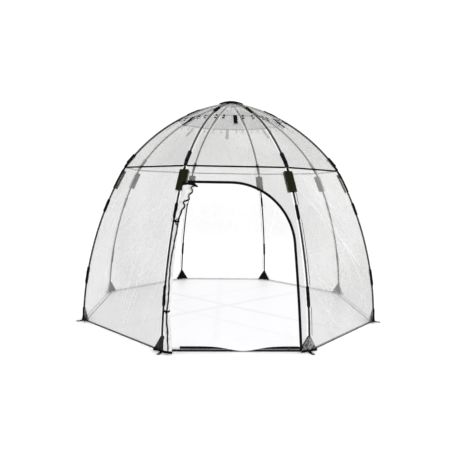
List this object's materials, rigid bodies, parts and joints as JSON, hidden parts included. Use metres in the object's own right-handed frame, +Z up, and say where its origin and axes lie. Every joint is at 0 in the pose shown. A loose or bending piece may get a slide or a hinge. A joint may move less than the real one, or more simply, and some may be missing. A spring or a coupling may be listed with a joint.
{
  "type": "pop up greenhouse",
  "caption": "Octagonal clear-film dome greenhouse on a folding rod frame, with hinged ribs, crown hub, arched zip doorway, rolled door and lifting vent flaps.",
  "frame": {"origin": "centre of the ground sheet's underside, on the dome's axis", "axes": "+Z up through the crown hub, -Y out through the doorway, +X to the right as seen from the front"},
  "size_m": [2.8798, 2.8888, 2.15],
  "materials": {
    "rod_black": "satin black glass-fibre rod with moulded ends",
    "moulded_black": "matte moulded plastic",
    "pin_steel": "plain steel",
    "sleeve_fabric": "woven polyester, black and dark olive",
    "webbing": "black webbing",
    "cap_fabric": "black woven fabric",
    "zip_tape": "black coil zip on tape",
    "slider_metal": "black painted metal",
    "clear_film": "clear creased film",
    "sheet_film": "white ground sheet"
  },
  "bodies": {
    "ground": {"ground_sheet": "sheet_film"},
    "crown": {"hub_body": "moulded_black", "hub_pins": "pin_steel", "crown_cap": "cap_fabric"},
    "upper_rib_1": {"upper_pole_1": "rod_black"},
    "lower_rib_1": {"lower_pole_1": "rod_black", "rib_sleeves_1": "sleeve_fabric"},
    "roof_1": {"roof_panel_1": "clear_film"},
    "wall_1": {"wall_panel_1": "clear_film", "door_zip": "zip_tape", "door_roll": "clear_film", "door_ties": "webbing"},
    "vent_1": {"vent_flap_1": "clear_film"},
    "upper_rib_2": {"upper_pole_2": "rod_black"},
    "lower_rib_2": {"lower_pole_2": "rod_black", "rib_sleeves_2": "sleeve_fabric"},
    "roof_2": {"roof_panel_2": "clear_film"},
    "wall_2": {"wall_panel_2": "clear_film"},
    "vent_2": {"vent_flap_2": "clear_film"},
    "upper_rib_3": {"upper_pole_3": "rod_black"},
    "lower_rib_3": {"lower_pole_3": "rod_black", "rib_sleeves_3": "sleeve_fabric"},
    "roof_3": {"roof_panel_3": "clear_film"},
    "wall_3": {"wall_panel_3": "clear_film"},
    "vent_3": {"vent_flap_3": "clear_film"},
    "upper_rib_4": {"upper_pole_4": "rod_black"},
    "lower_rib_4": {"lower_pole_4": "rod_black", "rib_sleeves_4": "sleeve_fabric"},
    "roof_4": {"roof_panel_4": "clear_film"},
    "wall_4": {"wall_panel_4": "clear_film"},
    "vent_4": {"vent_flap_4": "clear_film"},
    "upper_rib_5": {"upper_pole_5": "rod_black"},
    "lower_rib_5": {"lower_pole_5": "rod_black", "rib_sleeves_5": "sleeve_fabric"},
    "roof_5": {"roof_panel_5": "clear_film"},
    "wall_5": {"wall_panel_5": "clear_film"},
    "vent_5": {"vent_flap_5": "clear_film"},
    "upper_rib_6": {"upper_pole_6": "rod_black"},
    "lower_rib_6": {"lower_pole_6": "rod_black", "rib_sleeves_6": "sleeve_fabric"},
    "roof_6": {"roof_panel_6": "clear_film"},
    "wall_6": {"wall_panel_6": "clear_film"},
    "vent_6": {"vent_flap_6": "clear_film"},
    "upper_rib_7": {"upper_pole_7": "rod_black"},
    "lower_rib_7": {"lower_pole_7": "rod_black", "rib_sleeves_7": "sleeve_fabric"},
    "roof_7": {"roof_panel_7": "clear_film"},
    "wall_7": {"wall_panel_7": "clear_film"},
    "vent_7": {"vent_flap_7": "clear_film"},
    "upper_rib_8": {"upper_pole_8": "rod_black"},
    "lower_rib_8": {"lower_pole_8": "rod_black", "rib_sleeves_8": "sleeve_fabric"},
    "roof_8": {"roof_panel_8": "clear_film"},
    "wall_8": {"wall_panel_8": "clear_film"},
    "vent_8": {"vent_flap_8": "clear_film"},
    "zip_slider_body": {"zip_slider": "slider_metal"}
  },
  "joints": [
    {"name": "crown_drop", "type": "slide", "parent": "ground", "child": "crown", "axis": [0, 0, -1], "range_m": [0, 1.72], "deforming": ["crown_cap", "door_roll", "door_ties", "door_zip", "zip_slider", "roof_panel_1", "wall_panel_1", "vent_flap_1", "roof_panel_2", "wall_panel_2", "vent_flap_2", "roof_panel_3", "wall_panel_3", "vent_flap_3", "roof_panel_4", "wall_panel_4", "vent_flap_4", "roof_panel_5", "wall_panel_5", "vent_flap_5", "roof_panel_6", "wall_panel_6", "vent_flap_6", "roof_panel_7", "wall_panel_7", "vent_flap_7", "roof_panel_8", "wall_panel_8", "vent_flap_8"]},
    {"name": "upper_rib_1_fold", "type": "hinge", "parent": "crown", "child": "upper_rib_1", "pos_m": [0.03061, -0.07391, 2.115], "axis": [-0.9239, -0.3827, 0], "range_deg": [0, 104]},
    {"name": "lower_rib_1_fold", "type": "hinge", "parent": "upper_rib_1", "child": "lower_rib_1", "pos_m": [0.41827, -1.0098, 1.447], "axis": [0.9239, 0.3827, 0], "range_deg": [0, 119.5]},
    {"name": "roof_1_fold", "type": "hinge", "parent": "crown", "child": "roof_1", "pos_m": [0, -0.07391, 2.115], "axis": [-1, 0, 0], "range_deg": [0, 109.5]},
    {"name": "wall_1_fold", "type": "hinge", "parent": "roof_1", "child": "wall_1", "pos_m": [0, -1.0098, 1.447], "axis": [1, 0, 0], "range_deg": [0, 123.5]},
    {"name": "vent_1_lift", "type": "hinge", "parent": "roof_1", "child": "vent_1", "pos_m": [0, -0.104, 2.10971], "axis": [-1, 0, 0], "range_deg": [0, 70]},
    {"name": "upper_rib_2_fold", "type": "hinge", "parent": "crown", "child": "upper_rib_2", "pos_m": [0.07391, -0.03061, 2.115], "axis": [-0.3827, -0.9239, 0], "range_deg": [0, 104]},
    {"name": "lower_rib_2_fold", "type": "hinge", "parent": "upper_rib_2", "child": "lower_rib_2", "pos_m": [1.0098, -0.41827, 1.447], "axis": [0.3827, 0.9239, 0], "range_deg": [0, 119.5]},
    {"name": "roof_2_fold", "type": "hinge", "parent": "crown", "child": "roof_2", "pos_m": [0.05226, -0.05226, 2.115], "axis": [-0.7071, -0.7071, 0], "range_deg": [0, 109.5]},
    {"name": "wall_2_fold", "type": "hinge", "parent": "roof_2", "child": "wall_2", "pos_m": [0.71404, -0.71404, 1.447], "axis": [0.7071, 0.7071, 0], "range_deg": [0, 123.5]},
    {"name": "vent_2_lift", "type": "hinge", "parent": "roof_2", "child": "vent_2", "pos_m": [0.07354, -0.07354, 2.10971], "axis": [-0.7071, -0.7071, 0], "range_deg": [0, 70]},
    {"name": "upper_rib_3_fold", "type": "hinge", "parent": "crown", "child": "upper_rib_3", "pos_m": [0.07391, 0.03061, 2.115], "axis": [0.3827, -0.9239, 0], "range_deg": [0, 104]},
    {"name": "lower_rib_3_fold", "type": "hinge", "parent": "upper_rib_3", "child": "lower_rib_3", "pos_m": [1.0098, 0.41827, 1.447], "axis": [-0.3827, 0.9239, 0], "range_deg": [0, 119.5]},
    {"name": "roof_3_fold", "type": "hinge", "parent": "crown", "child": "roof_3", "pos_m": [0.07391, 0, 2.115], "axis": [0, -1, 0], "range_deg": [0, 109.5]},
    {"name": "wall_3_fold", "type": "hinge", "parent": "roof_3", "child": "wall_3", "pos_m": [1.0098, 0, 1.447], "axis": [0, 1, 0], "range_deg": [0, 123.5]},
    {"name": "vent_3_lift", "type": "hinge", "parent": "roof_3", "child": "vent_3", "pos_m": [0.104, 0, 2.10971], "axis": [0, -1, 0], "range_deg": [0, 70]},
    {"name": "upper_rib_4_fold", "type": "hinge", "parent": "crown", "child": "upper_rib_4", "pos_m": [0.03061, 0.07391, 2.115], "axis": [0.9239, -0.3827, 0], "range_deg": [0, 104]},
    {"name": "lower_rib_4_fold", "type": "hinge", "parent": "upper_rib_4", "child": "lower_rib_4", "pos_m": [0.41827, 1.0098, 1.447], "axis": [-0.9239, 0.3827, 0], "range_deg": [0, 119.5]},
    {"name": "roof_4_fold", "type": "hinge", "parent": "crown", "child": "roof_4", "pos_m": [0.05226, 0.05226, 2.115], "axis": [0.7071, -0.7071, 0], "range_deg": [0, 109.5]},
    {"name": "wall_4_fold", "type": "hinge", "parent": "roof_4", "child": "wall_4", "pos_m": [0.71404, 0.71404, 1.447], "axis": [-0.7071, 0.7071, 0], "range_deg": [0, 123.5]},
    {"name": "vent_4_lift", "type": "hinge", "parent": "roof_4", "child": "vent_4", "pos_m": [0.07354, 0.07354, 2.10971], "axis": [0.7071, -0.7071, 0], "range_deg": [0, 70]},
    {"name": "upper_rib_5_fold", "type": "hinge", "parent": "crown", "child": "upper_rib_5", "pos_m": [-0.03061, 0.07391, 2.115], "axis": [0.9239, 0.3827, 0], "range_deg": [0, 104]},
    {"name": "lower_rib_5_fold", "type": "hinge", "parent": "upper_rib_5", "child": "lower_rib_5", "pos_m": [-0.41827, 1.0098, 1.447], "axis": [-0.9239, -0.3827, 0], "range_deg": [0, 119.5]},
    {"name": "roof_5_fold", "type": "hinge", "parent": "crown", "child": "roof_5", "pos_m": [0, 0.07391, 2.115], "axis": [1, 0, 0], "range_deg": [0, 109.5]},
    {"name": "wall_5_fold", "type": "hinge", "parent": "roof_5", "child": "wall_5", "pos_m": [0, 1.0098, 1.447], "axis": [-1, 0, 0], "range_deg": [0, 123.5]},
    {"name": "vent_5_lift", "type": "hinge", "parent": "roof_5", "child": "vent_5", "pos_m": [0, 0.104, 2.10971], "axis": [1, 0, 0], "range_deg": [0, 70]},
    {"name": "upper_rib_6_fold", "type": "hinge", "parent": "crown", "child": "upper_rib_6", "pos_m": [-0.07391, 0.03061, 2.115], "axis": [0.3827, 0.9239, 0], "range_deg": [0, 104]},
    {"name": "lower_rib_6_fold", "type": "hinge", "parent": "upper_rib_6", "child": "lower_rib_6", "pos_m": [-1.0098, 0.41827, 1.447], "axis": [-0.3827, -0.9239, 0], "range_deg": [0, 119.5]},
    {"name": "roof_6_fold", "type": "hinge", "parent": "crown", "child": "roof_6", "pos_m": [-0.05226, 0.05226, 2.115], "axis": [0.7071, 0.7071, 0], "range_deg": [0, 109.5]},
    {"name": "wall_6_fold", "type": "hinge", "parent": "roof_6", "child": "wall_6", "pos_m": [-0.71404, 0.71404, 1.447], "axis": [-0.7071, -0.7071, 0], "range_deg": [0, 123.5]},
    {"name": "vent_6_lift", "type": "hinge", "parent": "roof_6", "child": "vent_6", "pos_m": [-0.07354, 0.07354, 2.10971], "axis": [0.7071, 0.7071, 0], "range_deg": [0, 70]},
    {"name": "upper_rib_7_fold", "type": "hinge", "parent": "crown", "child": "upper_rib_7", "pos_m": [-0.07391, -0.03061, 2.115], "axis": [-0.3827, 0.9239, 0], "range_deg": [0, 104]},
    {"name": "lower_rib_7_fold", "type": "hinge", "parent": "upper_rib_7", "child": "lower_rib_7", "pos_m": [-1.0098, -0.41827, 1.447], "axis": [0.3827, -0.9239, 0], "range_deg": [0, 119.5]},
    {"name": "roof_7_fold", "type": "hinge", "parent": "crown", "child": "roof_7", "pos_m": [-0.07391, 0, 2.115], "axis": [0, 1, 0], "range_deg": [0, 109.5]},
    {"name": "wall_7_fold", "type": "hinge", "parent": "roof_7", "child": "wall_7", "pos_m": [-1.0098, 0, 1.447], "axis": [0, -1, 0], "range_deg": [0, 123.5]},
    {"name": "vent_7_lift", "type": "hinge", "parent": "roof_7", "child": "vent_7", "pos_m": [-0.104, 0, 2.10971], "axis": [0, 1, 0], "range_deg": [0, 70]},
    {"name": "upper_rib_8_fold", "type": "hinge", "parent": "crown", "child": "upper_rib_8", "pos_m": [-0.03061, -0.07391, 2.115], "axis": [-0.9239, 0.3827, 0], "range_deg": [0, 104]},
    {"name": "lower_rib_8_fold", "type": "hinge", "parent": "upper_rib_8", "child": "lower_rib_8", "pos_m": [-0.41827, -1.0098, 1.447], "axis": [0.9239, -0.3827, 0], "range_deg": [0, 119.5]},
    {"name": "roof_8_fold", "type": "hinge", "parent": "crown", "child": "roof_8", "pos_m": [-0.05226, -0.05226, 2.115], "axis": [-0.7071, 0.7071, 0], "range_deg": [0, 109.5]},
    {"name": "wall_8_fold", "type": "hinge", "parent": "roof_8", "child": "wall_8", "pos_m": [-0.71404, -0.71404, 1.447], "axis": [0.7071, -0.7071, 0], "range_deg": [0, 123.5]},
    {"name": "vent_8_lift", "type": "hinge", "parent": "roof_8", "child": "vent_8", "pos_m": [-0.07354, -0.07354, 2.10971], "axis": [-0.7071, 0.7071, 0], "range_deg": [0, 70]},
    {"name": "zip_slider_travel", "type": "slide", "parent": "wall_1", "child": "zip_slider_body", "axis": [-1, 0, 0], "range_m": [0, 0.82]}
  ],
  "couplings": [
    {"joint": "upper_rib_1_fold", "follows": "crown_drop", "rad_per_m": 1.0492},
    {"joint": "lower_rib_1_fold", "follows": "crown_drop", "rad_per_m": 1.2046},
    {"joint": "roof_1_fold", "follows": "crown_drop", "rad_per_m": 1.1012},
    {"joint": "wall_1_fold", "follows": "crown_drop", "rad_per_m": 1.2452},
    {"joint": "upper_rib_2_fold", "follows": "crown_drop", "rad_per_m": 1.0492},
    {"joint": "lower_rib_2_fold", "follows": "crown_drop", "rad_per_m": 1.2046},
    {"joint": "roof_2_fold", "follows": "crown_drop", "rad_per_m": 1.1012},
    {"joint": "wall_2_fold", "follows": "crown_drop", "rad_per_m": 1.2452},
    {"joint": "upper_rib_3_fold", "follows": "crown_drop", "rad_per_m": 1.0492},
    {"joint": "lower_rib_3_fold", "follows": "crown_drop", "rad_per_m": 1.2046},
    {"joint": "roof_3_fold", "follows": "crown_drop", "rad_per_m": 1.1012},
    {"joint": "wall_3_fold", "follows": "crown_drop", "rad_per_m": 1.2452},
    {"joint": "upper_rib_4_fold", "follows": "crown_drop", "rad_per_m": 1.0492},
    {"joint": "lower_rib_4_fold", "follows": "crown_drop", "rad_per_m": 1.2046},
    {"joint": "roof_4_fold", "follows": "crown_drop", "rad_per_m": 1.1012},
    {"joint": "wall_4_fold", "follows": "crown_drop", "rad_per_m": 1.2452},
    {"joint": "upper_rib_5_fold", "follows": "crown_drop", "rad_per_m": 1.0492},
    {"joint": "lower_rib_5_fold", "follows": "crown_drop", "rad_per_m": 1.2046},
    {"joint": "roof_5_fold", "follows": "crown_drop", "rad_per_m": 1.1012},
    {"joint": "wall_5_fold", "follows": "crown_drop", "rad_per_m": 1.2452},
    {"joint": "upper_rib_6_fold", "follows": "crown_drop", "rad_per_m": 1.0492},
    {"joint": "lower_rib_6_fold", "follows": "crown_drop", "rad_per_m": 1.2046},
    {"joint": "roof_6_fold", "follows": "crown_drop", "rad_per_m": 1.1012},
    {"joint": "wall_6_fold", "follows": "crown_drop", "rad_per_m": 1.2452},
    {"joint": "upper_rib_7_fold", "follows": "crown_drop", "rad_per_m": 1.0492},
    {"joint": "lower_rib_7_fold", "follows": "crown_drop", "rad_per_m": 1.2046},
    {"joint": "roof_7_fold", "follows": "crown_drop", "rad_per_m": 1.1012},
    {"joint": "wall_7_fold", "follows": "crown_drop", "rad_per_m": 1.2452},
    {"joint": "upper_rib_8_fold", "follows": "crown_drop", "rad_per_m": 1.0492},
    {"joint": "lower_rib_8_fold", "follows": "crown_drop", "rad_per_m": 1.2046},
    {"joint": "roof_8_fold", "follows": "crown_drop", "rad_per_m": 1.1012},
    {"joint": "wall_8_fold", "follows": "crown_drop", "rad_per_m": 1.2452}
  ]
}
